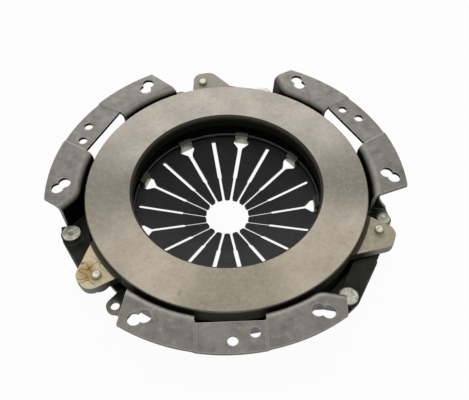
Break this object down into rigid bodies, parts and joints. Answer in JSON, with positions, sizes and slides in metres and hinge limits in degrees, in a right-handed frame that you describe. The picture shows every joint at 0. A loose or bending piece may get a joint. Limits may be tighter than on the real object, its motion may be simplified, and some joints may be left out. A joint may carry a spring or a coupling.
{
  "type": "clutch pressure plate",
  "caption": "Clutch pressure plate: a pressed cover with bolting flanges, a slotted diaphragm spring held by folded tabs, and a cast friction ring hung on leaf straps.",
  "frame": {"origin": "on the axis, in the plane of the bolting flanges' faces that meet the flywheel", "axes": "+Z along the axis towards the flywheel; the middle of one bolting flange lies along -Y"},
  "size_m": [0.26, 0.2537, 0.044],
  "materials": {
    "cover_steel": "bare pressed sheet",
    "plate_iron": "ground face, cast back",
    "spring_steel": "black, oiled",
    "wire_steel": "drawn wire",
    "strap_steel": "rolled spring steel",
    "rivet_steel": "bright rivet"
  },
  "bodies": {
    "cover": {"cover": "cover_steel", "diaphragm_spring": "spring_steel", "fulcrum_ring": "wire_steel", "strap_1_leaf_1": "strap_steel", "strap_1_leaf_2": "strap_steel", "strap_1_leaf_3": "strap_steel", "strap_2_leaf_1": "strap_steel", "strap_2_leaf_2": "strap_steel", "strap_2_leaf_3": "strap_steel", "strap_3_leaf_1": "strap_steel", "strap_3_leaf_2": "strap_steel", "strap_3_leaf_3": "strap_steel", "strap_rivet_1": "rivet_steel", "strap_rivet_2": "rivet_steel", "strap_rivet_3": "rivet_steel", "balance_rivet": "rivet_steel"},
    "pressure_plate": {"pressure_plate": "plate_iron", "lug_rivet_1": "rivet_steel", "lug_rivet_2": "rivet_steel", "lug_rivet_3": "rivet_steel"}
  },
  "joints": [
    {"name": "plate_travel", "type": "slide", "parent": "cover", "child": "pressure_plate", "axis": [0, 0, 1], "range_m": [-0.006, 0], "stiffness_N_per_m": 200000, "springref_m": 0.0005, "deforming": ["diaphragm_spring", "strap_1_leaf_1", "strap_1_leaf_2", "strap_1_leaf_3", "strap_2_leaf_1", "strap_2_leaf_2", "strap_2_leaf_3", "strap_3_leaf_1", "strap_3_leaf_2", "strap_3_leaf_3"]}
  ]
}
